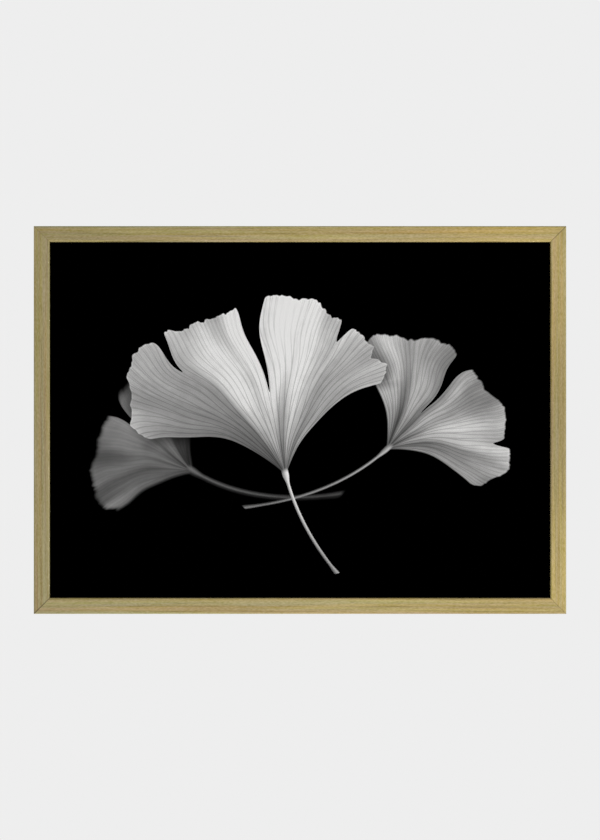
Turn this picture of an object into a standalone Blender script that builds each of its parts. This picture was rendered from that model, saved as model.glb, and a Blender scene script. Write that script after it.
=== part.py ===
"""A landscape picture frame for a 700 x 500 mm print, ready to hang on a wall.

Four mitred wooden mouldings hold a clear acrylic sheet, the print and a hardboard back in their rebate.
Thin steel tabs let into the mouldings keep the stack in place. V-shaped nails pin the mitres from behind.
One toothed hanger for each way of hanging, landscape and portrait, is riveted to the hardboard.

X runs to the right, Y runs from the front to the wall and Z runs up. The wall is the plane y = 0.
The origin is on the line of the wall nail that carries the landscape hanger by its middle notch.
"""

import math

import bmesh
import bpy
from mathutils import Matrix, Vector

MM = 0.001

# The sheet that the frame is made for, and how the moulding holds it
SHEET_WIDTH = 700 * MM
SHEET_HEIGHT = 500 * MM
SHEET_OVERLAP = 4 * MM
SHEET_CLEARANCE = 1 * MM
CONTACT_GAP = 0.3 * MM

# The moulding
FACE_WIDTH = 22 * MM
FRAME_DEPTH = 25 * MM
LIP_THICKNESS = 8 * MM
OUTER_ARRIS = 2.0 * MM
INNER_ARRIS = 2.8 * MM
BACK_ARRIS = 0.7 * MM
ARC_STEPS = 8

# The sheets in the rebate
ACRYLIC_THICKNESS = 2 * MM
PRINT_THICKNESS = 0.3 * MM
BOARD_THICKNESS = 3 * MM

# The bent steel tabs
TAB_WIDTH = 9 * MM
TAB_THICKNESS = 0.5 * MM
TAB_BURIED = 8 * MM
TAB_REACH = 14 * MM
TAB_BENT_END = 5 * MM
TAB_LIFT = 1.4 * MM
TAB_TIP_RADIUS = 3.5 * MM
TAB_PLACES_ALONG_WIDTH = (-290 * MM, -110 * MM, 110 * MM, 290 * MM)
TAB_PLACES_ALONG_HEIGHT = (-180 * MM, 0.0, 180 * MM)

# The V-shaped corner nails
NAIL_LEG = 6 * MM
NAIL_THICKNESS = 0.6 * MM
NAIL_LENGTH = 8 * MM

# The toothed hangers and their rivets
HANGER_DROP = 48 * MM
HANGER_LENGTH = 62 * MM
HANGER_HEIGHT = 11 * MM
HANGER_PLATE = 0.8 * MM
HANGER_FOOT = 11 * MM
HANGER_STEP = 2.4 * MM
HANGER_RAMP = 3 * MM
TOOTH_PITCH = 4 * MM
TOOTH_HEIGHT = 2.2 * MM
TOOTH_GAPS = 7
RIVET_SHANK = 1.5 * MM
RIVET_HEAD = 3.2 * MM
RIVET_HEAD_HEIGHT = 1.1 * MM
RIVET_TAIL = 2.6 * MM
RIVET_TAIL_DEPTH = 0.7 * MM
ROUND_STEPS = 28

# What follows from the sizes above
OUTER_WIDTH = SHEET_WIDTH + 2 * (FACE_WIDTH - SHEET_OVERLAP)
OUTER_HEIGHT = SHEET_HEIGHT + 2 * (FACE_WIDTH - SHEET_OVERLAP)
REBATE_INSET = FACE_WIDTH - SHEET_OVERLAP - SHEET_CLEARANCE
FRONT_Y = -FRAME_DEPTH
LIP_Y = FRONT_Y + LIP_THICKNESS
ACRYLIC_Y = LIP_Y + CONTACT_GAP
PRINT_Y = ACRYLIC_Y + ACRYLIC_THICKNESS + CONTACT_GAP
BOARD_Y = PRINT_Y + PRINT_THICKNESS + CONTACT_GAP
BOARD_BACK_Y = BOARD_Y + BOARD_THICKNESS
TAB_Y = BOARD_BACK_Y + CONTACT_GAP
HANGER_Y = BOARD_BACK_Y + CONTACT_GAP
FRAME_CENTRE = Vector((0, 0, HANGER_DROP - OUTER_HEIGHT / 2))
RIVET_SPACING = HANGER_LENGTH - HANGER_FOOT

# Turn about Y that carries the top side of the frame to each side, and the outer length there
SIDES = {
    "top": (0, OUTER_WIDTH, OUTER_HEIGHT, TAB_PLACES_ALONG_WIDTH),
    "right": (90, OUTER_HEIGHT, OUTER_WIDTH, TAB_PLACES_ALONG_HEIGHT),
    "bottom": (180, OUTER_WIDTH, OUTER_HEIGHT, TAB_PLACES_ALONG_WIDTH),
    "left": (270, OUTER_HEIGHT, OUTER_WIDTH, TAB_PLACES_ALONG_HEIGHT),
}


def clear_scene():
    for thing in list(bpy.data.objects):
        bpy.data.objects.remove(thing, do_unlink=True)


def material(name, colour, roughness, metallic=0.0, transmission=0.0):
    made = bpy.data.materials.new(name)
    made.use_nodes = True
    shader = made.node_tree.nodes["Principled BSDF"]
    shader.inputs["Base Color"].default_value = (*colour, 1.0)
    shader.inputs["Roughness"].default_value = roughness
    shader.inputs["Metallic"].default_value = metallic
    shader.inputs["Transmission Weight"].default_value = transmission
    made.diffuse_color = (*colour, 1.0)
    return made


def object_from(name, mesh, finish, smooth_angle=None):
    """A named object, closed and facing outwards, from a bmesh."""
    bmesh.ops.remove_doubles(mesh, verts=mesh.verts, dist=0.001 * MM)
    bmesh.ops.recalc_face_normals(mesh, faces=mesh.faces)
    data = bpy.data.meshes.new(name)
    mesh.to_mesh(data)
    mesh.free()
    if finish:
        data.materials.append(finish)
    if smooth_angle:
        data.shade_smooth()
        data.set_sharp_from_angle(angle=math.radians(smooth_angle))
    thing = bpy.data.objects.new(name, data)
    bpy.context.scene.collection.objects.link(thing)
    return thing


def add_prism(mesh, outline, depth):
    """Extrudes a closed outline of points by the vector depth, with both ends filled."""
    base = mesh.faces.new([mesh.verts.new(point) for point in outline])
    grown = bmesh.ops.extrude_face_region(mesh, geom=[base], use_keep_orig=True)
    moved = [item for item in grown["geom"] if isinstance(item, bmesh.types.BMVert)]
    bmesh.ops.translate(mesh, verts=moved, vec=depth)


def add_box(mesh, low, high):
    corners = [(low[0], low[1]), (high[0], low[1]), (high[0], high[1]), (low[0], high[1])]
    add_prism(mesh, [(x, y, low[2]) for x, y in corners], (0, 0, high[2] - low[2]))


def add_turned(mesh, profile):
    """Spins (radius, y) points about the Y axis. The profile starts and ends on the axis."""
    points = [mesh.verts.new((radius, y, 0)) for radius, y in profile]
    edges = [mesh.edges.new(pair) for pair in zip(points, points[1:])]
    bmesh.ops.spin(
        mesh, geom=points + edges, cent=(0, 0, 0), axis=(0, 1, 0), angle=math.tau, steps=ROUND_STEPS
    )


def arc(centre, radius, start, end, steps=ARC_STEPS):
    """Points of a circular arc, with its angles in degrees."""
    angles = [math.radians(start + (end - start) * i / steps) for i in range(steps + 1)]
    return [(centre[0] + radius * math.cos(a), centre[1] + radius * math.sin(a)) for a in angles]


def on_side(thing, side, shift=(0, 0, 0)):
    """Moves what was modelled for the middle of the top side's outer edge to any side of the frame."""
    turn, _, span, _ = SIDES[side]
    place = Matrix.Translation(FRAME_CENTRE) @ Matrix.Rotation(math.radians(turn), 4, "Y")
    thing.matrix_world = place @ Matrix.Translation((shift[0], shift[1], span / 2 + shift[2]))
    return thing


def cut(thing, cutter):
    """Subtracts a cutter, which stays in the scene as a hidden helper."""
    cutter.hide_render = True
    cutter.display_type = "WIRE"
    boolean = thing.modifiers.new("cut", "BOOLEAN")
    boolean.operation = "DIFFERENCE"
    boolean.solver = "EXACT"
    boolean.object = cutter


def moulding_outline():
    """The moulding's section as (inset from the outer edge, y), with its front arrises eased."""
    outer = arc((OUTER_ARRIS, FRONT_Y + OUTER_ARRIS), OUTER_ARRIS, 180, 270)
    inner_centre = (FACE_WIDTH - INNER_ARRIS, FRONT_Y + INNER_ARRIS)
    inner = arc(inner_centre, INNER_ARRIS, 270, 360)
    rebate = [(FACE_WIDTH, LIP_Y), (REBATE_INSET, LIP_Y), (REBATE_INSET, 0)]
    back = arc((BACK_ARRIS, -BACK_ARRIS), BACK_ARRIS, 90, 180)
    return outer + inner + rebate + back


def moulding(side, finish):
    """One mitred length. Each end stops short of the corner's mitre by half the contact gap."""
    length = SIDES[side][1]
    pull_back = CONTACT_GAP / math.sqrt(2)
    mesh = bmesh.new()
    ends = []
    for sense in (-1, 1):
        ends.append(
            [
                mesh.verts.new((sense * (length / 2 - inset - pull_back), y, -inset))
                for inset, y in moulding_outline()
            ]
        )
    near, far = ends
    mesh.faces.new(near)
    mesh.faces.new(far)
    for i in range(len(near)):
        j = (i + 1) % len(near)
        mesh.faces.new((near[i], near[j], far[j], far[i]))
    made = on_side(object_from(f"moulding_{side}", mesh, finish, 30), side)
    cut(made, tab_slots(side))
    cut(made, nail_slots())
    return made


def tab_slots(side):
    """The saw cuts that the tabs of one side stand in."""
    mesh = bmesh.new()
    half = TAB_WIDTH / 2 + CONTACT_GAP
    for along in SIDES[side][3]:
        low = (along - half, TAB_Y - CONTACT_GAP, -REBATE_INSET - SHEET_CLEARANCE)
        high = (
            along + half,
            TAB_Y + TAB_THICKNESS + CONTACT_GAP,
            TAB_BURIED + CONTACT_GAP - REBATE_INSET,
        )
        add_box(mesh, low, high)
    return on_side(object_from(f"slots_{side}", mesh, None), side)


def tab_sections():
    """(distance from the buried end, half width, lift) along a tab, with its tip rounded and bent up."""
    length = TAB_BURIED + TAB_REACH
    straight = length - TAB_BENT_END
    sections = [(0, TAB_WIDTH / 2, 0), (straight, TAB_WIDTH / 2, 0)]
    for i in range(1, 7):
        angle = math.radians(90 * i / 6)
        along = length - TAB_TIP_RADIUS * (1 - math.sin(angle))
        half = TAB_WIDTH / 2 - TAB_TIP_RADIUS * (1 - math.cos(angle))
        lift = TAB_LIFT * (along - straight) / TAB_BENT_END
        sections.append((along, half, lift))
    return sections


def tab(side, number, along, finish):
    mesh = bmesh.new()
    rings = []
    for distance, half, lift in tab_sections():
        z = TAB_BURIED - REBATE_INSET - distance
        low, high = TAB_Y + lift, TAB_Y + TAB_THICKNESS + lift
        corners = [(-half, low), (half, low), (half, high), (-half, high)]
        rings.append([mesh.verts.new((x, y, z)) for x, y in corners])
    mesh.faces.new(rings[0])
    mesh.faces.new(rings[-1])
    for near, far in zip(rings, rings[1:]):
        for i in range(4):
            j = (i + 1) % 4
            mesh.faces.new((near[i], near[j], far[j], far[i]))
    made = object_from(f"tab_{side}_{number}", mesh, finish, 30)
    return on_side(made, side, shift=(along, 0, 0))


def nail_outline(leg, thickness):
    """A V seen from behind, in a top-left corner's own axes: x inwards, z upwards, its point outwards."""
    half = thickness / 2
    return [
        (-half, half),
        (leg, half),
        (leg, -half),
        (half, -half),
        (half, -leg),
        (-half, -leg),
    ]


def nail_corner(sense_x, sense_z):
    """Where a nail's point lies, in the frame's plane, for the corner on these sides."""
    inset = (REBATE_INSET - NAIL_LEG) / 2
    x = sense_x * (OUTER_WIDTH / 2 - inset)
    z = FRAME_CENTRE.z + sense_z * (OUTER_HEIGHT / 2 - inset)
    return x, z


def nail_prism(mesh, sense_x, sense_z, spare):
    """A nail, or with spare room round it the slot that it stands in."""
    x, z = nail_corner(sense_x, sense_z)
    outline = nail_outline(NAIL_LEG + spare, NAIL_THICKNESS + 2 * spare)
    start = -NAIL_LENGTH - CONTACT_GAP - spare
    depth = NAIL_LENGTH + spare + (2 * CONTACT_GAP if spare else 0)
    points = [(x - sense_x * across, start, z + sense_z * up) for across, up in outline]
    add_prism(mesh, points, (0, depth, 0))


def nail_slots():
    """The cuts of all four corner nails, as one helper for every moulding."""
    known = bpy.data.objects.get("nail_slots")
    if known:
        return known
    mesh = bmesh.new()
    for sense_x in (-1, 1):
        for sense_z in (-1, 1):
            nail_prism(mesh, sense_x, sense_z, CONTACT_GAP)
    return object_from("nail_slots", mesh, None)


def corner_nails(finish):
    for sense_x, across in ((-1, "left"), (1, "right")):
        for sense_z, level in ((-1, "bottom"), (1, "top")):
            mesh = bmesh.new()
            nail_prism(mesh, sense_x, sense_z, 0)
            object_from(f"corner_nail_{level}_{across}", mesh, finish)


def sheet(name, front_y, thickness, finish):
    mesh = bmesh.new()
    half = Vector((SHEET_WIDTH / 2, 0, SHEET_HEIGHT / 2))
    low = FRAME_CENTRE - half
    high = FRAME_CENTRE + half
    add_box(mesh, (low.x, front_y, low.z), (high.x, front_y + thickness, high.z))
    return object_from(name, mesh, finish)


def rivet_places():
    """(side, offset along that side) of each rivet."""
    return [(side, sense * RIVET_SPACING / 2) for side in ("top", "left") for sense in (-1, 1)]


def rivet_level():
    """The height of the rivets and of the hanger's middle line, from the side's outer edge."""
    return HANGER_HEIGHT / 2 - TOOTH_HEIGHT - HANGER_DROP


def backing_board(finish):
    board = sheet("backing_board", BOARD_Y, BOARD_THICKNESS, finish)
    hole = RIVET_SHANK + CONTACT_GAP
    sink = RIVET_TAIL + CONTACT_GAP
    sink_y = BOARD_Y + RIVET_TAIL_DEPTH + 2 * CONTACT_GAP
    profile = [
        (0, BOARD_Y - 1 * MM),
        (sink, BOARD_Y - 1 * MM),
        (sink, sink_y),
        (hole, sink_y),
        (hole, BOARD_BACK_Y + 1 * MM),
        (0, BOARD_BACK_Y + 1 * MM),
    ]
    for number, (side, along) in enumerate(rivet_places(), 1):
        mesh = bmesh.new()
        add_turned(mesh, profile)
        cutter = object_from(f"rivet_hole_{number}", mesh, None)
        cut(board, on_side(cutter, side, shift=(along, 0, rivet_level())))
    return board


def hanger_outline():
    """The bent strip from above as (x, y), with its flat feet, its ramps and its raised bridge."""
    half = HANGER_LENGTH / 2
    foot = half - HANGER_FOOT
    bridge = foot - HANGER_RAMP
    front = [(-half, 0), (-foot, 0), (-bridge, HANGER_STEP), (bridge, HANGER_STEP), (foot, 0), (half, 0)]
    back = [(x, y + HANGER_PLATE) for x, y in reversed(front)]
    return [(x, HANGER_Y + y) for x, y in front + back]


def teeth_cutter(name):
    """The row of notches along the hanger's lower edge, as one zigzag prism."""
    reach = TOOTH_GAPS * TOOTH_PITCH / 2
    outline = [(-reach, -TOOTH_HEIGHT), (-reach, 0)]
    for i in range(TOOTH_GAPS):
        left = -reach + i * TOOTH_PITCH
        outline.append((left + TOOTH_PITCH / 2, TOOTH_HEIGHT))
        outline.append((left + TOOTH_PITCH, 0))
    outline.append((reach, -TOOTH_HEIGHT))
    mesh = bmesh.new()
    add_prism(mesh, [(x, HANGER_Y - 1 * MM, z) for x, z in outline], (0, 6 * MM, 0))
    return object_from(name, mesh, None)


def hanger(name, side, finish):
    """A toothed hanger whose middle notch lies HANGER_DROP below the side's outer edge."""
    mesh = bmesh.new()
    outline = [(x, y, -TOOTH_HEIGHT) for x, y in hanger_outline()]
    add_prism(mesh, outline, (0, 0, HANGER_HEIGHT))
    made = on_side(object_from(name, mesh, finish, 20), side, shift=(0, 0, -HANGER_DROP))
    teeth = on_side(teeth_cutter(f"{name}_teeth"), side, shift=(0, 0, -HANGER_DROP - TOOTH_HEIGHT))
    cut(made, teeth)
    hole = RIVET_SHANK + CONTACT_GAP
    ends = (HANGER_Y - 1 * MM, HANGER_Y + HANGER_PLATE + 1 * MM)
    for number, sense in enumerate((-1, 1), 1):
        hole_mesh = bmesh.new()
        add_turned(hole_mesh, [(0, ends[0]), (hole, ends[0]), (hole, ends[1]), (0, ends[1])])
        cutter = object_from(f"{name}_hole_{number}", hole_mesh, None)
        place = (sense * RIVET_SPACING / 2, 0, rivet_level())
        cut(made, on_side(cutter, side, shift=place))
    return made


def rivet(name, side, along, finish):
    """A domed rivet through the hanger's foot and the board, with its tail sunk in the board's front."""
    tail_y = BOARD_Y + CONTACT_GAP
    head_y = HANGER_Y + HANGER_PLATE + CONTACT_GAP
    bulge = (RIVET_HEAD**2 + RIVET_HEAD_HEIGHT**2) / (2 * RIVET_HEAD_HEIGHT)
    edge = math.degrees(math.asin(RIVET_HEAD / bulge))
    dome = arc((0, head_y + RIVET_HEAD_HEIGHT - bulge), bulge, 90 - edge, 90)
    profile = [
        (0, tail_y),
        (RIVET_TAIL, tail_y),
        (RIVET_TAIL, tail_y + RIVET_TAIL_DEPTH),
        (RIVET_SHANK, tail_y + RIVET_TAIL_DEPTH),
        (RIVET_SHANK, head_y),
        (RIVET_HEAD, head_y),
        *dome[1:-1],
        (0, head_y + RIVET_HEAD_HEIGHT),
    ]
    mesh = bmesh.new()
    add_turned(mesh, profile)
    return on_side(object_from(name, mesh, finish, 40), side, shift=(along, 0, rivet_level()))


def main():
    clear_scene()
    gold_wood = material("gold_wood", (0.36, 0.28, 0.13), 0.45)
    clear_acrylic = material("clear_acrylic", (1.0, 1.0, 1.0), 0.02, transmission=1.0)
    black_print = material("black_print", (0.01, 0.01, 0.01), 0.35)
    hardboard = material("hardboard", (0.20, 0.11, 0.055), 0.75)
    spring_steel = material("spring_steel", (0.16, 0.16, 0.17), 0.35, metallic=1.0)
    zinc_steel = material("zinc_steel", (0.62, 0.62, 0.60), 0.3, metallic=1.0)

    for side in SIDES:
        moulding(side, gold_wood)
    corner_nails(zinc_steel)
    sheet("acrylic_sheet", ACRYLIC_Y, ACRYLIC_THICKNESS, clear_acrylic)
    sheet("print", PRINT_Y, PRINT_THICKNESS, black_print)
    backing_board(hardboard)
    for side, (_, _, _, places) in SIDES.items():
        for number, along in enumerate(places, 1):
            tab(side, number, along, spring_steel)
    hanger("hanger_landscape", "top", zinc_steel)
    hanger("hanger_portrait", "left", zinc_steel)
    for number, (side, along) in enumerate(rivet_places(), 1):
        rivet(f"rivet_{number}", side, along, zinc_steel)


main()
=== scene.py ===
"""The looks of a landscape picture frame.

It has gold wooden mouldings, a clear acrylic sheet, a print of three leaves and a hardboard back.
X runs to the right, Y from the front to the wall and Z up. Lengths are metres, and millimetres in materials.
"""

import math

import bmesh
import bpy
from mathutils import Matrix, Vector


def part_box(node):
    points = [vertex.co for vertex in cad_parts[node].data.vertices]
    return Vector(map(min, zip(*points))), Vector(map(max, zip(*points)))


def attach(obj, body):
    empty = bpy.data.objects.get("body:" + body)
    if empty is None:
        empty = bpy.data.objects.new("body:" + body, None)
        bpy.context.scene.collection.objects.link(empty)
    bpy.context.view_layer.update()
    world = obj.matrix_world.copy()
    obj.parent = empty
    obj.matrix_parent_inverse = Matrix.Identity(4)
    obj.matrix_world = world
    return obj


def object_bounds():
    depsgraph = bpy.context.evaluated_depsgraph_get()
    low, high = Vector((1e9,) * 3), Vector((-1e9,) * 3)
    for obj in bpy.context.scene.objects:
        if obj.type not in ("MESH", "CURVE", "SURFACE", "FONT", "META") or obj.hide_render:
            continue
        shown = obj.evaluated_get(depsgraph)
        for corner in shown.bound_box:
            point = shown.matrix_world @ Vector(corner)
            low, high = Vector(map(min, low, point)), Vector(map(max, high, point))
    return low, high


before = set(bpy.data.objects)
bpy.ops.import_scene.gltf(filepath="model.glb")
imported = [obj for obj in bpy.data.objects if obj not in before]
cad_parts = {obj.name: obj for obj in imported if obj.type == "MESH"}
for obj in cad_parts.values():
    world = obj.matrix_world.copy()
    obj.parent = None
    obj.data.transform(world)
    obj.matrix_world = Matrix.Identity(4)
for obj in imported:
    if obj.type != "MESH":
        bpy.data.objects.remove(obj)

CAD_LOW, CAD_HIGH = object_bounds()
MM = 0.001

# The frame's own places, read from the model
CENTRE = (CAD_LOW + CAD_HIGH) / 2
HALF_WIDTH = (CAD_HIGH.x - CAD_LOW.x) / 2
HALF_HEIGHT = (CAD_HIGH.z - CAD_LOW.z) / 2
FRONT_Y = CAD_LOW.y
ACRYLIC_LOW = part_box("acrylic_sheet")[0]

# The moulding's section
FACE_WIDTH = 22 * MM
REBATE_INSET = 17 * MM
CONTACT_GAP = 0.3 * MM
LIP_Y = ACRYLIC_LOW.y - CONTACT_GAP

# The film of glue in each mitre
GLUE_THICKNESS = 0.32 * MM
GLUE_START = 0.24 * MM
GLUE_RECESS = 0.25 * MM
GLUE_CORNER = 2.8 * MM
GLUE_CORNER_STEPS = 5
SAME_PLACE = MM / 100

# The camera, matched to the photograph
IMAGE_HEIGHT = 840
MM_PER_PIXEL = 1.3822
LENS = 500
SENSOR = 36
VIEW_DEPTH = 100

# The room and its light
PAPER_WHITE = (238, 238, 238)
AMBIENT = 0.45
KEY_POWER = 33
KEY_SIZE = 1.0
KEY_PLACE = (1.5, -1.35, -0.95)
KEY_TONE = (1.0, 0.985, 0.96)
BACK_POWER = 26
BACK_SIZE = 1.6
BACK_PLACE = (1.7, 2.3, 1.2)
BACK_TONE = (1.0, 1.0, 1.0)
FILL_POWER = 27
FILL_SIZE = 1.2
FILL_PLACE = (-2.4, 0.5, 1.4)
FILL_TONE = (1.0, 0.975, 0.93)
FLOOR_LEVEL = -2.1
FLOOR_RADIUS = 15
FLOOR_GLOW = 0.25
BLACK_CARD_Y = -17.5
BLACK_CARD_HALF = (1.1, 0.85)

# Tones as they look on paper
GILT = (168, 151, 100)
PORE_BROWN = (104, 88, 52)
BARE_WOOD = (196, 166, 124)
JOINT_BROWN = (58, 48, 28)
GLUE_TONES = ((118, 100, 64), (150, 130, 86))
BOARD_TONES = ((134, 104, 72), (164, 134, 98), (188, 160, 124))
BLUED_STEEL = (92, 92, 96)
ZINC = (205, 205, 200)

# The colour runs from cooler at the frame's left to warmer at its right. Along the front outer arris it is
# painted darker and greyer, as painted shade and a painted reflection of the pale room.
COOL_GILT = (0.96, 1.0, 1.06, 1.0)
WARM_GILT = (1.015, 1.005, 0.955, 1.0)
ARRIS_PAINTED_SHADE = (0.94, 0.965, 1.03, 1.0)

# Across every face, in millimetres from its outer edge: a browner strip, a dark growth line and a paler strip
# that is greyer at first
BROWN_START = 2.0
BROWN_END = 8.8
DARK_LINE = 10.6
PALE_START = 12.5
GREY_END = 15.2
PALE_END = 18.0

# Where bare wood starts, in millimetres from the outer edge: on the back, and in the wall of the rebate
BARE_BACK = (1.2, 2.4)
BARE_REBATE = (16.4, 16.8)

# How open each joint looks. The dark line's half width in millimetres is the width, plus the spread where the
# joint is fully open, and the core is the share of it that is fully dark. A joint tightens to its tightest
# share between two distances from both outer edges together, in millimetres.
JOINT_OPENNESS = {"top_left": 0.12, "top_right": 0.76, "bottom_left": 1.0, "bottom_right": 0.46}
JOINT_WIDTH = 0.25
JOINT_SPREAD = 0.50
JOINT_CORE = 0.25
JOINT_TIGHTENING = (20.0, 44.0)
JOINT_TIGHTEST = 0.7

# The grain wanders sideways over this length and width, by up to half this much each way, all in millimetres,
# and each millimetre of depth shifts it by the slant
WANDER_LENGTH = 180
WANDER_WIDTH = 80
WANDER = 4.0
GRAIN_SLANT = 0.8

# The grain's layers: length and width in millimetres, detail, and a shift that sets each layer apart
BAND = (260, 4.8, 1.0, 0)
STREAK = (70, 2.4, 1.0, 11)
SPECKLE = (4.0, 1.3, 0.0, 23)
FIBRE = (9, 0.45, 2.0, 31)
HAIR = (16, 0.20, 1.0, 83)
YELLOWING = (190, 3.4, 1.0, 47)
REDNESS = (320, 4.4, 0.0, 53)
LINE_STRENGTH = (75, 30, 1.0, 71)
GRAIN_ROUGHNESS = 0.6

# The growth rings: their spacing, their shift with each millimetre of depth, and the length and width of
# their sway and of the patches where they show. After them come the pores. All are in millimetres.
RING_SPACING = 5.5
RING_SLANT = 0.7
RING_SWAY = (260, 30)
RING_PATCH = (160, 7)
PORE_LENGTH = 11
PORE_WIDTH = 0.36

# The ragged end of the gilding on the back: length, width and swing in millimetres
RAGGED_LENGTH = 9
RAGGED_WIDTH = 3
RAGGED_SWING = 3.5

# How light each moulding's wood is at its left or lower end, in its middle and at its other end
WOOD_LIGHTNESS = {
    "top": (0.94, 1.08, 1.11),
    "right": (0.97, 0.73, 1.00),
    "bottom": (1.03, 1.02, 0.92),
    "left": (0.93, 0.97, 0.96),
}

# The fibres of the hardboard: which way they lie in degrees, and how much lighter or darker they are
BOARD_FIBRES = ((12, 0.05), (57, -0.06), (101, 0.05), (148, -0.06), (79, 0.04))
BOARD_FIBRE_LENGTH = 3
BOARD_FIBRE_WIDTH = 0.35

# The sizes of the marks on the other finishes, in millimetres
BOARD_CLOUD = 150
BOARD_SPECK = 0.9
ROLLING_LENGTH = 14
ROLLING_WIDTH = 0.25
DULL_PATCH = 7
GLUE_BEAD = 2

# How strongly the acrylic bends and reflects light. It is low because of the coating.
ACRYLIC_IOR = 1.18

# The leaves of the print, from the hindmost to the nearest. Places are millimetres from the print's middle,
# lengths are millimetres, turns are degrees clockwise, and notches are (place across the fan, depth, width).
LEAVES = (
    dict(base=(-150, -70), turn=-58, size=150, blur=5.0, seed=11.3, throat=0.75, fan=1.15, veins=7, rib=1.6,
         notches=((0.12, 0.5, 0.10),), dark_base=0.5, slant=-0.25, vein_tone=0.85, fibre=0.12, gain=0.34,
         bend=0.0022, stalk=190, stalk_width=1.6, shadow=1.0),
    dict(base=(120, -40), turn=48, size=178, blur=1.6, seed=4.2, throat=0.70, fan=1.22, veins=8, rib=1.0,
         notches=((-0.08, 0.55, 0.10), (0.55, 0.12, 0.06)), dark_base=0.28, slant=0.2, vein_tone=0.62,
         fibre=0.5, gain=0.86, bend=-0.0018, stalk=200, stalk_width=1.5, shadow=14.0),
    dict(base=(-20, -75), turn=-14, size=262, blur=0.7, seed=7.9, throat=0.62, fan=1.16, veins=9, rib=0.9,
         notches=((0.06, 0.5, 0.085), (-0.52, 0.16, 0.05), (0.58, 0.12, 0.05)), dark_base=0.22, slant=0.24,
         vein_tone=0.55, fibre=0.6, gain=1.50, bend=0.0016, stalk=150, stalk_width=2.0, shadow=18.0),
)

# The stretches of a leaf's reach over which its veins part, once in each
VEIN_FORKS = ((0.10, 0.42), (0.34, 0.72), (0.58, 1.0))


def linear(tone, share=1.0):
    """A colour given as 0 to 255 on screen, as the linear colour that a shader takes."""
    parts = []
    for part in tone:
        level = part / 255
        parts.append(share * (level / 12.92 if level <= 0.04045 else ((level + 0.055) / 1.055) ** 2.4))
    return (*parts, 1.0)


class NodeBench:
    """Adds nodes to one material's tree. A plain number or another node's output may feed any input."""

    def __init__(self, tree):
        self.tree = tree

    def add(self, kind, **settings):
        node = self.tree.nodes.new(kind)
        for name, value in settings.items():
            setattr(node, name, value)
        return node

    def feed(self, socket, value):
        if isinstance(value, bpy.types.NodeSocket):
            self.tree.links.new(value, socket)
        else:
            socket.default_value = value

    def math(self, operation, *values):
        node = self.add("ShaderNodeMath", operation=operation)
        for socket, value in zip(node.inputs, values):
            self.feed(socket, value)
        return node.outputs[0]

    def plus(self, first, *others):
        for other in others:
            first = self.math("ADD", first, other)
        return first

    def less(self, first, second):
        return self.math("SUBTRACT", first, second)

    def times(self, first, *others):
        for other in others:
            first = self.math("MULTIPLY", first, other)
        return first

    def over(self, first, second):
        return self.math("DIVIDE", first, second)

    def size_of(self, value):
        return self.math("ABSOLUTE", value)

    def about(self, noise, swing):
        """Turns a noise of 0 to 1 into a number that swings about nought."""
        return self.times(self.less(noise, 0.5), swing)

    def step(self, value, start, end, low=0.0, high=1.0):
        """Runs smoothly from low at start to high at end, and stays level outside them."""
        node = self.add("ShaderNodeMapRange", interpolation_type="SMOOTHSTEP")
        given = {"Value": value, "From Min": start, "From Max": end, "To Min": low, "To Max": high}
        for name, number in given.items():
            self.feed(node.inputs[name], number)
        return node.outputs[0]

    def vector(self, x=0.0, y=0.0, z=0.0):
        node = self.add("ShaderNodeCombineXYZ")
        for socket, value in zip(node.inputs, (x, y, z)):
            self.feed(socket, value)
        return node.outputs[0]

    def place_mm(self):
        """The surface's place on the object as three numbers in millimetres."""
        coordinates = self.add("ShaderNodeTexCoord").outputs["Object"]
        split = self.add("ShaderNodeSeparateXYZ")
        self.feed(split.inputs[0], coordinates)
        return [self.times(part, 1 / MM) for part in split.outputs]

    def noise(self, x, y, z, detail=1.0, roughness=0.5):
        node = self.add("ShaderNodeTexNoise")
        self.feed(node.inputs["Vector"], self.vector(x, y, z))
        node.inputs["Scale"].default_value = 1.0
        node.inputs["Detail"].default_value = detail
        node.inputs["Roughness"].default_value = roughness
        return node.outputs["Fac"]

    def blend(self, share, under, top):
        """A number: under where share is 0, and top where it is 1."""
        node = self.add("ShaderNodeMix", data_type="FLOAT")
        for index, value in ((0, share), (2, under), (3, top)):
            self.feed(node.inputs[index], value)
        return node.outputs[0]

    def tint(self, share, under, top, mode="MIX"):
        """A colour: under where share is 0, and mixed with top where it is 1."""
        node = self.add("ShaderNodeMix", data_type="RGBA", blend_type=mode)
        for index, value in ((0, share), (6, under), (7, top)):
            self.feed(node.inputs[index], value)
        return node.outputs[2]

    def tones(self, share, stops):
        """A colour that runs through (place, colour) stops."""
        node = self.add("ShaderNodeValToRGB")
        self.feed(node.inputs[0], share)
        marks = node.color_ramp.elements
        while len(marks) < len(stops):
            marks.new(1.0)
        for mark, (place, colour) in zip(marks, stops):
            mark.position = place
            mark.color = colour
        return node.outputs[0]

    def bump(self, height, depth_mm, strength=1.0):
        node = self.add("ShaderNodeBump")
        self.feed(node.inputs["Height"], height)
        node.inputs["Distance"].default_value = depth_mm * MM
        node.inputs["Strength"].default_value = strength
        return node.outputs["Normal"]


def new_material(name, **settings):
    """A material with one Principled shader, whose uniform values are set on the shader itself."""
    made = bpy.data.materials.new(name)
    made.use_nodes = True
    shader = made.node_tree.nodes["Principled BSDF"]
    for socket, value in settings.items():
        shader.inputs[socket.replace("_", " ")].default_value = value
    return made, NodeBench(made.node_tree), shader.inputs


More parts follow.
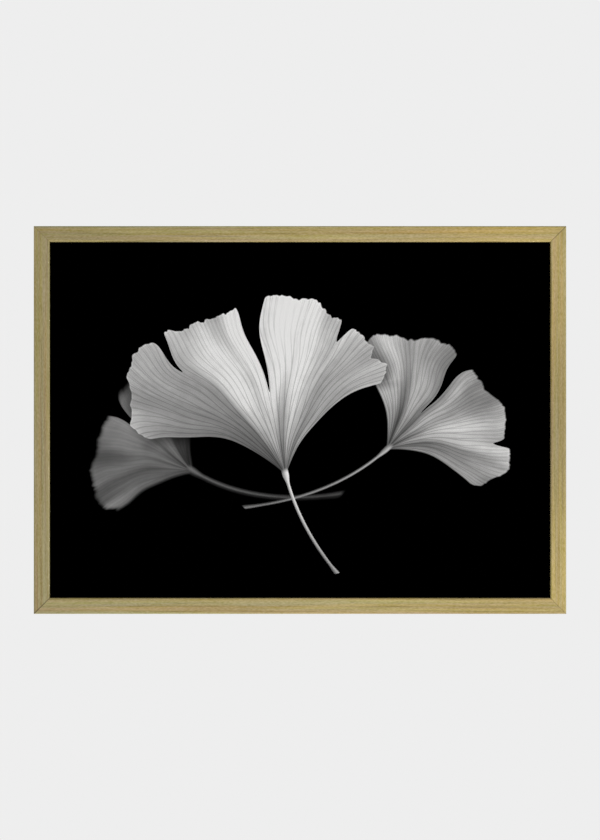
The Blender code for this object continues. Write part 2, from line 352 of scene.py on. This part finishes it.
def mitre_stain(n, x, z):
    """How dark the joint is at a place: 1 on the mitre of the corner whose joint is widest open.

    Each joint is tighter towards the opening.
    """
    from_side = n.less(HALF_WIDTH / MM, n.size_of(n.less(x, CENTRE.x / MM)))
    from_level = n.less(HALF_HEIGHT / MM, n.size_of(n.less(z, CENTRE.z / MM)))
    distance = n.times(n.size_of(n.less(from_side, from_level)), math.sqrt(0.5))
    left = n.step(x, -1.0, 1.0, 1.0, 0.0)
    top = n.step(n.less(z, CENTRE.z / MM), -1.0, 1.0)
    upper = n.blend(left, JOINT_OPENNESS["top_right"], JOINT_OPENNESS["top_left"])
    lower = n.blend(left, JOINT_OPENNESS["bottom_right"], JOINT_OPENNESS["bottom_left"])
    tightening = n.step(n.plus(from_side, from_level), *JOINT_TIGHTENING, 1.0, JOINT_TIGHTEST)
    openness = n.times(n.blend(top, lower, upper), tightening)
    width = n.plus(JOINT_WIDTH, n.times(openness, JOINT_SPREAD))
    return n.times(n.step(distance, n.times(width, JOINT_CORE), width, 1.0, 0.0), openness)


def gold_wood(side, level, seed):
    """Gilded wood with a satin finish. Its grain runs along the moulding, level or upright."""
    made, n, inputs = new_material(f"gold_wood_{side}", Specular_IOR_Level=0.4)
    x, y, z = n.place_mm()
    along, across = (x, z) if level else (z, x)
    middle, half_length = (0.0, HALF_WIDTH / MM) if level else (CENTRE.z / MM, HALF_HEIGHT / MM)
    wander = n.noise(n.times(along, 1 / WANDER_LENGTH), n.times(across, 1 / WANDER_WIDTH), seed)
    across = n.plus(across, n.about(wander, WANDER))
    deep = n.plus(n.times(y, GRAIN_SLANT), seed * 10)

    def grain(length, width, detail, offset):
        """A noise drawn out along the moulding."""
        shift = n.plus(deep, offset)
        places = (n.times(along, 1 / length), n.times(across, 1 / width), n.times(shift, 1 / width))
        return n.noise(*places, detail, GRAIN_ROUGHNESS)

    band = grain(*BAND)
    streak = grain(*STREAK)
    speckle = grain(*SPECKLE)
    fibre = grain(*FIBRE)
    hair = grain(*HAIR)
    yellowing = grain(*YELLOWING)
    redness = grain(*REDNESS)

    outer_half = HALF_HEIGHT if level else HALF_WIDTH
    inset = n.less(outer_half / MM, n.size_of(n.less(z, CENTRE.z / MM) if level else x))
    from_edge = n.plus(inset, n.about(wander, 1.6))
    line_strength = grain(*LINE_STRENGTH)
    to_line = n.size_of(n.less(from_edge, DARK_LINE))
    dark_line = n.times(n.step(to_line, 0.4, 2.6, 1.0, 0.0), n.step(line_strength, 0.30, 0.62, 0.4, 1.0))
    pale_strip = n.times(
        n.step(from_edge, PALE_START - 1.5, PALE_START + 1.0),
        n.step(from_edge, PALE_END - 1.0, PALE_END + 1.5, 1.0, 0.0),
    )

    brown_strip = n.times(
        n.step(from_edge, BROWN_START - 0.8, BROWN_START + 0.8),
        n.step(from_edge, BROWN_END - 1.0, BROWN_END + 1.0, 1.0, 0.0),
    )
    grey_strip = n.times(
        n.step(from_edge, DARK_LINE, DARK_LINE + 1.5),
        n.step(from_edge, GREY_END - 1.0, GREY_END + 1.0, 1.0, 0.0),
    )

    # Light grain is greyer and dark grain is more golden, and the hue drifts from band to band
    light = n.plus(
        n.times(dark_line, -0.06),
        n.times(pale_strip, 0.04),
        n.about(band, 0.34),
        n.about(streak, 0.38),
        n.about(speckle, 0.42),
        n.about(fibre, 0.36),
        n.about(hair, 0.30),
    )
    golden = n.plus(
        n.about(yellowing, 0.62),
        n.times(brown_strip, 0.02),
        n.times(grey_strip, -0.05),
        n.times(pale_strip, 0.02),
    )
    rosy = n.plus(n.about(redness, 0.18), n.times(brown_strip, 0.015))
    red = n.plus(1.0, light, n.times(golden, 0.40), n.times(rosy, 0.7))
    green = n.plus(1.0, light, n.times(golden, 0.30), n.times(rosy, -1.0))
    blue = n.plus(1.0, n.times(light, 2.2), n.times(golden, -1.0))
    colour = n.tint(1.0, linear(GILT), n.vector(red, green, blue), "MULTIPLY")

    warmth = n.step(x, -HALF_WIDTH / MM, HALF_WIDTH / MM)
    colour = n.tint(1.0, colour, n.tint(warmth, COOL_GILT, WARM_GILT), "MULTIPLY")
    # Painted shade and painted reflection: a band along the front outer arris is tinted darker and greyer
    behind_front = n.less(y, FRONT_Y / MM)
    arris_painted_shade = n.times(n.step(inset, 1.0, 3.2, 1.0, 0.0), n.step(behind_front, 1.5, 3.5, 1.0, 0.0))
    colour = n.tint(arris_painted_shade, colour, n.tint(1.0, colour, ARRIS_PAINTED_SHADE, "MULTIPLY"))
    start, centre, end = WOOD_LIGHTNESS[side]
    place = n.less(along, middle)
    lightness = n.plus(
        centre,
        n.step(place, -0.9 * half_length, 0.0, start - centre, 0.0),
        n.step(place, 0.0, 0.9 * half_length, 0.0, end - centre),
    )
    colour = n.tint(1.0, colour, n.vector(lightness, lightness, lightness), "MULTIPLY")

    # The gilding ends unevenly just round the back, so that the back and the rebate are bare wood
    ragged = n.noise(n.times(along, 1 / RAGGED_LENGTH), n.times(across, 1 / RAGGED_WIDTH), seed + 17, 2.0)
    ragged_inset = n.plus(inset, n.about(ragged, RAGGED_SWING))
    on_back = n.times(n.step(y, -0.5, -0.2), n.step(ragged_inset, *BARE_BACK))
    in_rebate = n.times(n.step(inset, *BARE_REBATE), n.step(y, LIP_Y / MM - 0.6, LIP_Y / MM - 0.1))
    bareness = n.math("MAXIMUM", on_back, in_rebate)
    grained = n.plus(1.0, n.times(light, 1.1))
    bare = n.tint(1.0, linear(BARE_WOOD), n.vector(grained, grained, grained), "MULTIPLY")
    colour = n.tint(bareness, colour, bare)

    # Thin dark lines: a few growth rings, the core of the dark growth line, and short open pores
    sway_length, sway_width = RING_SWAY
    growth = n.noise(n.times(along, 1 / sway_length), n.times(across, 1 / sway_width), seed + 5)
    radial = n.plus(across, n.times(y, RING_SLANT))
    rings = n.math("SINE", n.plus(n.times(radial, 2 * math.pi / RING_SPACING), n.times(growth, 6.0)))
    patch_length, patch_width = RING_PATCH
    patches = n.noise(n.times(along, 1 / patch_length), n.times(across, 1 / patch_width), seed + 9)
    ring_line = n.times(n.step(rings, 0.88, 1.0), n.step(patches, 0.50, 0.58), 0.55)
    core_line = n.times(n.step(to_line, 0.2, 0.8, 1.0, 0.0), n.step(line_strength, 0.44, 0.66, 0.0, 0.4))
    ring_line = n.math("MAXIMUM", ring_line, core_line)
    thin = [n.times(place, 1 / PORE_WIDTH) for place in (across, deep)]
    pores = n.noise(n.times(along, 1 / PORE_LENGTH), *thin, 0.0)
    pore_line = n.times(n.step(pores, 0.65, 0.76), 0.45)
    colour = n.tint(n.math("MAXIMUM", ring_line, pore_line), colour, linear(PORE_BROWN))
    colour = n.tint(mitre_stain(n, x, z), colour, linear(JOINT_BROWN))

    n.feed(inputs["Base Color"], colour)
    n.feed(inputs["Roughness"], n.plus(0.42, n.about(streak, 0.16)))
    height = n.plus(n.times(streak, 0.5), n.times(fibre, 0.4), n.times(hair, 0.3), n.times(pore_line, -1.2))
    n.feed(inputs["Normal"], n.bump(height, 0.05))
    return made


def draw_leaf(n, x, z, picture, leaf):
    """Draws one fan-shaped leaf and its stalk over the picture so far, and returns the new grey level."""
    turn = math.radians(leaf["turn"])
    size, blur, seed = leaf["size"], leaf["blur"], leaf["seed"]

    # Places ahead along the leaf and aside to its right, with a gentle unevenness of the whole leaf
    away_x = n.less(x, leaf["base"][0])
    away_z = n.less(z, leaf["base"][1])
    aside = n.less(n.times(away_x, math.cos(turn)), n.times(away_z, math.sin(turn)))
    ahead = n.plus(n.times(away_x, math.sin(turn)), n.times(away_z, math.cos(turn)))
    sway = n.less(n.noise(n.times(aside, 1.6 / size), n.times(ahead, 1.6 / size), seed * 1.6), 0.5)
    distance = n.math("SQRT", n.plus(n.times(aside, aside), n.times(ahead, ahead)))
    reach = n.times(distance, 1 / size, n.plus(1.0, n.times(sway, 0.22)))
    angle = n.plus(n.math("ARCTAN2", aside, ahead), n.times(sway, 0.32))
    half_angle = n.step(reach, 0.0, 0.95, leaf["throat"], leaf["fan"])
    fan = n.over(angle, half_angle)
    fan_size = n.size_of(fan)

    # The wavy rim, its rounded ends and its notches
    wave = n.noise(n.times(fan, 7.0), seed, 5.1)
    outline = n.plus(
        0.93,
        n.about(n.noise(n.times(fan, 2.2), seed, 0.3), 0.22),
        n.times(n.math("POWER", n.math("MINIMUM", fan_size, 1.0), 6.0), -0.20),
    )
    rim = n.plus(outline, n.about(wave, 0.12), n.about(n.noise(n.times(fan, 34.0), seed, 9.7), 0.035))
    for place, depth, width in leaf["notches"]:
        gap = n.size_of(n.less(n.plus(fan, n.about(wave, 0.05)), place))
        rim = n.less(rim, n.times(n.math("POWER", n.step(gap, 0.0, width, 1.0, 0.0), 1.6), depth))
    to_rim = n.times(n.less(rim, reach), size)
    to_side = n.times(n.less(1.0, fan_size), half_angle, distance)
    inside = n.math("SMOOTH_MIN", to_rim, to_side, 6.0)
    blade = n.step(inside, -blur, blur)

    # Veins, each of which forks three times on its way out
    veins = leaf["veins"]
    drift = n.noise(n.times(fan, 3.0), n.times(reach, 1.4), seed + 2)
    spread = n.plus(n.times(fan, veins), n.about(drift, 1.1))
    cell = n.math("FLOOR", spread)
    later = n.times(n.math("FRACT", n.times(n.math("SINE", n.times(n.plus(cell, seed), 12.99)), 43.76)), 0.16)
    vein = n.size_of(n.less(n.math("FRACT", spread), 0.5))
    for order, (start, end) in enumerate(VEIN_FORKS):
        parting = n.step(reach, n.plus(start, later), n.plus(end, later), 0.0, 0.25 / 2**order)
        vein = n.size_of(n.less(vein, parting))
    vein = n.times(vein, 1 / veins, half_angle, distance)
    rib = n.step(vein, 0.15, leaf["rib"], 1.0, 0.0)
    vein_tone = n.step(reach, 0.15, 1.0, leaf["vein_tone"], 0.5 + 0.5 * leaf["vein_tone"])

    # Folds, ripples and fibres in the light
    fold = n.noise(n.times(fan, 2.6), n.times(reach, 0.8), seed + 6)
    ripple = n.noise(n.times(fan, 11.0), n.times(reach, 1.6), seed + 8)
    fibre = n.noise(n.times(fan, 190.0), n.times(reach, 7.0), seed + 4, 3.0, 0.6)
    mottle = n.noise(n.times(aside, 0.07), n.times(ahead, 0.07), seed, 4.0, 0.65)
    body = n.times(
        n.step(fold, 0.34, 0.66, 0.30, 1.0),
        n.step(reach, -0.05, 0.75, leaf["dark_base"], 1.0),
        n.plus(1.0, n.times(fan, leaf["slant"])),
        leaf["gain"],
    )
    light = n.times(
        n.math("SMOOTH_MIN", body, 1.0, 0.3),
        n.plus(1.0, n.times(n.about(ripple, 1.2), n.math("POWER", reach, 1.5))),
        n.blend(rib, 1.0, vein_tone),
        n.plus(1.0, n.about(fibre, leaf["fibre"])),
        n.plus(1.0, n.about(mottle, 0.30)),
        n.step(inside, 0.0, 2.6, 1.22, 1.0),
    )

    # The stalk, a slender curve that thickens where it meets the blade and where it was cut
    bend, thickness = leaf["bend"], leaf["stalk_width"]
    off_line = n.less(aside, n.times(ahead, ahead, bend))
    slope = n.times(ahead, 2 * bend)
    off = n.over(n.size_of(off_line), n.math("SQRT", n.plus(1.0, n.times(slope, slope))))
    along = n.times(ahead, -1 / leaf["stalk"])
    thick = n.plus(
        thickness,
        n.step(along, 0.0, 0.10, thickness * 1.2, 0.0),
        n.step(along, 0.9, 1.0, 0.0, thickness * 0.5),
    )
    stalk = n.times(
        n.step(n.less(thick, off), -0.7 * blur, 0.7 * blur),
        n.step(along, -0.06, -0.01),
        n.step(along, 1.0, 1.0 + 1.2 * blur / leaf["stalk"], 1.0, 0.0),
    )
    roundness = n.step(n.over(off_line, thick), -1.0, 0.7, 0.25, 0.80)
    stalk_light = n.times(roundness, n.step(along, 0.0, 1.0, 1.0, 0.45), 0.8 * leaf["gain"])

    cover = n.math("SMOOTH_MIN", n.times(n.less(outline, reach), size), to_side, 20.0)
    shadow = n.step(cover, -leaf["shadow"], 4.0, 1.0, 0.25)
    picture = n.blend(blade, n.times(picture, shadow), light)
    return n.blend(stalk, picture, stalk_light)


def leaf_print():
    """Matt photographic paper, black but for its leaves."""
    made, n, inputs = new_material("leaf_print", Roughness=0.7, Specular_IOR_Level=0.0)
    x, _, z = n.place_mm()
    x = n.less(x, CENTRE.x / MM)
    z = n.less(z, CENTRE.z / MM)
    picture = 0.0
    for leaf in LEAVES:
        picture = draw_leaf(n, x, z, picture, leaf)
    picture = n.math("SMOOTH_MIN", picture, 0.97, 0.05)
    n.feed(inputs["Base Color"], n.vector(picture, picture, picture))
    return made


def clear_acrylic():
    """Clear sheet with a coating that keeps reflections down."""
    made, _, _ = new_material("clear_acrylic", Roughness=0.0, IOR=ACRYLIC_IOR, Transmission_Weight=1.0)
    return made


def hardboard():
    """Brown pressed board, with pale and dark fibres that lie every way and faint clouds."""
    made, n, inputs = new_material("hardboard", Specular_IOR_Level=0.3)
    x, y, z = n.place_mm()
    clouds = n.noise(*[n.times(place, 1 / BOARD_CLOUD) for place in (x, y, z)], 2.0, 0.5)
    specks = n.noise(*[n.times(place, 1 / BOARD_SPECK) for place in (x, y, z)], 3.0, 0.7)
    value = n.plus(0.5, n.about(clouds, 0.18), n.about(specks, 0.45))
    for turn, lift in BOARD_FIBRES:
        cosine, sine = math.cos(math.radians(turn)), math.sin(math.radians(turn))
        along = n.plus(n.times(x, cosine), n.times(z, sine))
        across = n.less(n.times(z, cosine), n.times(x, sine))
        lengthwise = n.times(along, 1 / BOARD_FIBRE_LENGTH)
        sideways = n.times(across, 1 / BOARD_FIBRE_WIDTH)
        fibre = n.noise(lengthwise, sideways, n.plus(y, turn), 1.0)
        value = n.plus(value, n.step(fibre, 0.56, 0.70, 0.0, lift))
    stops = [(place, linear(tone)) for place, tone in zip((0.36, 0.50, 0.64), BOARD_TONES)]
    n.feed(inputs["Base Color"], n.tones(value, stops))
    n.feed(inputs["Roughness"], n.plus(0.72, n.about(specks, 0.2)))
    n.feed(inputs["Normal"], n.bump(value, 0.10))
    return made


def worked_steel(name, tone, roughness, level):
    """Steel strip with fine rolling marks along it and a few dull patches."""
    made, n, inputs = new_material(name, Metallic=1.0)
    x, y, z = n.place_mm()
    along, across = (x, z) if level else (z, x)
    fine = [n.times(place, 1 / ROLLING_WIDTH) for place in (across, y)]
    marks = n.noise(n.times(along, 1 / ROLLING_LENGTH), *fine, 2.0, 0.6)
    patches = n.noise(*[n.times(place, 1 / DULL_PATCH) for place in (x, y, z)], 3.0, 0.6)
    value = n.plus(n.times(marks, 0.5), n.times(patches, 0.5))
    n.feed(inputs["Base Color"], n.tones(value, ((0.35, linear(tone, 0.72)), (0.62, linear(tone, 1.1)))))
    n.feed(inputs["Roughness"], n.plus(roughness, n.about(marks, 0.14), n.about(patches, 0.20)))
    n.feed(inputs["Normal"], n.bump(marks, 0.02))
    return made


def dried_glue():
    """Brown wood glue, uneven where it set."""
    made, n, inputs = new_material("dried_glue", Specular_IOR_Level=0.3)
    x, y, z = n.place_mm()
    beads = n.noise(*[n.times(place, 1 / GLUE_BEAD) for place in (x, y, z)], 2.0)
    stops = [(place, linear(tone)) for place, tone in zip((0.3, 0.7), GLUE_TONES)]
    n.feed(inputs["Base Color"], n.tones(beads, stops))
    n.feed(inputs["Roughness"], n.plus(0.55, n.about(beads, 0.2)))
    return made


def give(material, *nodes):
    for node in nodes:
        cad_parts[node].material_slots[0].material = material


def nodes_named(*starts):
    return [name for name in sorted(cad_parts) if name.startswith(starts)]


def dress_model():
    """Gives every CAD node its finish."""
    for seed, side in enumerate(("top", "right", "bottom", "left"), 1):
        give(gold_wood(side, side in ("top", "bottom"), seed * 3.7), f"moulding_{side}")
    give(leaf_print(), "print")
    give(clear_acrylic(), "acrylic_sheet")
    give(hardboard(), "backing_board")
    upright_tabs = nodes_named("tab_top", "tab_bottom")
    level_tabs = nodes_named("tab_left", "tab_right")
    small_zinc = nodes_named("rivet_", "corner_")
    give(worked_steel("blued_steel_upright", BLUED_STEEL, 0.36, False), *upright_tabs)
    give(worked_steel("blued_steel_level", BLUED_STEEL, 0.36, True), *level_tabs)
    give(worked_steel("zinc_steel_level", ZINC, 0.26, True), "hanger_landscape", *small_zinc)
    give(worked_steel("zinc_steel_upright", ZINC, 0.26, False), "hanger_portrait")

    # The lamps shine on the print as if the clear sheet weren't there, which keeps it free of noise
    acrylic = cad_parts["acrylic_sheet"]
    acrylic.visible_shadow = False
    acrylic.visible_diffuse = False


def deselect_all():
    bpy.ops.object.select_all(action="DESELECT")


def select_in_mesh(piece, wanted):
    """In edit mode, selects the faces whose middle passes the test."""
    mesh = bmesh.from_edit_mesh(piece.data)
    for face in mesh.faces:
        if wanted(face.calc_center_median()):
            face.select_set(True)
    bmesh.update_edit_mesh(piece.data)


def mitre_glue(name, corner, turn, finish):
    """The film of glue in one mitre, as deep as the moulding, with the rebate cut out of its inner end.

    It is shaped along X, with the frame's outer corner at nought, and then turned into the mitre.
    """
    web_end = REBATE_INSET * math.sqrt(2) - GLUE_RECESS
    lip_end = FACE_WIDTH * math.sqrt(2) - 2 * GLUE_RECESS
    front, back = FRONT_Y + GLUE_RECESS, -GLUE_RECESS
    deselect_all()
    bpy.ops.mesh.primitive_cube_add(size=1, location=((GLUE_START + web_end) / 2, (front + back) / 2, 0))
    film = bpy.context.object
    film.name = name
    film.scale = (web_end - GLUE_START, back - front, GLUE_THICKNESS)
    bpy.ops.object.transform_apply(location=True, rotation=False, scale=True)

    bpy.ops.object.mode_set(mode="EDIT")
    lip_back = LIP_Y - GLUE_RECESS
    bpy.ops.mesh.select_all(action="SELECT")
    bpy.ops.mesh.bisect(plane_co=(0, lip_back, 0), plane_no=(0, 1, 0))
    bpy.ops.mesh.select_all(action="DESELECT")
    select_in_mesh(film, lambda middle: middle.x > web_end - SAME_PLACE and middle.y < lip_back)
    bpy.ops.mesh.extrude_region_move(TRANSFORM_OT_translate={"value": (lip_end - web_end, 0, 0)})
    bpy.ops.mesh.select_all(action="DESELECT")
    mesh = bmesh.from_edit_mesh(film.data)
    for edge in mesh.edges:
        ends = [end.co for end in edge.verts]
        at_front = all(abs(end.y - front) < SAME_PLACE for end in ends)
        at_start = all(abs(end.x - GLUE_START) < SAME_PLACE for end in ends)
        at_lip_end = all(abs(end.x - lip_end) < SAME_PLACE for end in ends)
        if at_front and (at_start or at_lip_end):
            edge.select_set(True)
    bmesh.update_edit_mesh(film.data)
    bpy.ops.mesh.bevel(offset=GLUE_CORNER, segments=GLUE_CORNER_STEPS, affect="EDGES")
    bpy.ops.object.mode_set(mode="OBJECT")

    film.location = corner
    film.rotation_euler = (0, math.radians(turn), 0)
    bpy.ops.object.transform_apply(location=True, rotation=True, scale=True)
    film.data.materials.append(finish)
    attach(film, "root")


def glue_mitres():
    finish = dried_glue()
    corners = {
        "top_left": (-1, 1, 45),
        "top_right": (1, 1, 135),
        "bottom_right": (1, -1, 225),
        "bottom_left": (-1, -1, 315),
    }
    for name, (sense_x, sense_z, turn) in corners.items():
        corner = (CENTRE.x + sense_x * HALF_WIDTH, 0, CENTRE.z + sense_z * HALF_HEIGHT)
        mitre_glue(f"mitre_glue_{name}", corner, turn, finish)


def plain_material(name, tone, **settings):
    made, _, inputs = new_material(name, **settings)
    inputs["Base Color"].default_value = linear(tone)
    return made


def build_stage():
    """A pale floor far below the frame, and a black card behind the camera for the acrylic to reflect."""
    deselect_all()
    bpy.ops.mesh.primitive_circle_add(
        vertices=96, radius=FLOOR_RADIUS, fill_type="NGON", location=(CENTRE.x, CENTRE.y, FLOOR_LEVEL)
    )
    floor = bpy.context.object
    floor.name = "floor"
    pale = plain_material(
        "pale_floor", PAPER_WHITE, Roughness=0.9, Emission_Color=(1, 1, 1, 1), Emission_Strength=FLOOR_GLOW
    )
    floor.data.materials.append(pale)
    deselect_all()
    bpy.ops.mesh.primitive_plane_add(
        size=2, location=(CENTRE.x, BLACK_CARD_Y, CENTRE.z), rotation=(math.pi / 2, 0, 0)
    )
    card = bpy.context.object
    card.name = "black_card"
    card.scale = (*BLACK_CARD_HALF, 1)
    card.data.materials.append(plain_material("black_card", (0, 0, 0), Specular_IOR_Level=0.0))
    card.visible_camera = False
    card.visible_diffuse = False
    card.visible_shadow = False


def light_room():
    """Even pale surroundings, a soft key lamp at the lower right in front, and two weaker lamps.

    One lights the back. The other stands at the left, behind the frame's front, so it lights the left side,
    the top and the back, but not the front.
    """
    world = bpy.data.worlds.new("pale_room")
    world.use_nodes = True
    n = NodeBench(world.node_tree)
    background = world.node_tree.nodes["Background"]
    seen = n.add("ShaderNodeLightPath").outputs["Is Camera Ray"]
    background.inputs["Color"].default_value = (1, 1, 1, 1)
    n.feed(background.inputs["Strength"], n.blend(seen, AMBIENT, linear(PAPER_WHITE)[0]))
    bpy.context.scene.world = world

    soft_lamp("key", KEY_PLACE, KEY_POWER, KEY_SIZE, KEY_TONE)
    soft_lamp("back_lamp", BACK_PLACE, BACK_POWER, BACK_SIZE, BACK_TONE)
    soft_lamp("left_fill", FILL_PLACE, FILL_POWER, FILL_SIZE, FILL_TONE)


def soft_lamp(name, place, power, size, tone):
    """A round soft lamp that faces the frame, and that the camera doesn't see."""
    data = bpy.data.lights.new(name, "AREA")
    data.shape = "DISK"
    data.size = size
    data.energy = power
    data.color = tone
    lamp = bpy.data.objects.new(name, data)
    lamp.location = place
    lamp.rotation_euler = (CENTRE - Vector(place)).to_track_quat("-Z", "Y").to_euler()
    lamp.visible_camera = False
    bpy.context.scene.collection.objects.link(lamp)


def set_camera():
    """A long lens square on to the frame, at the distance that gives the photograph's scale."""
    half_view = IMAGE_HEIGHT / 2 * MM_PER_PIXEL * MM
    distance = half_view * LENS / (SENSOR / 2)
    data = bpy.data.cameras.new("camera")
    data.lens = LENS
    data.sensor_width = SENSOR
    data.clip_end = VIEW_DEPTH
    camera = bpy.data.objects.new("camera", data)
    camera.location = (CENTRE.x, FRONT_Y - distance, CENTRE.z)
    camera.rotation_euler = (math.pi / 2, 0, 0)
    bpy.context.scene.collection.objects.link(camera)
    bpy.context.scene.camera = camera


bpy.context.scene.view_settings.view_transform = "Standard"
dress_model()
glue_mitres()
build_stage()
light_room()
set_camera()
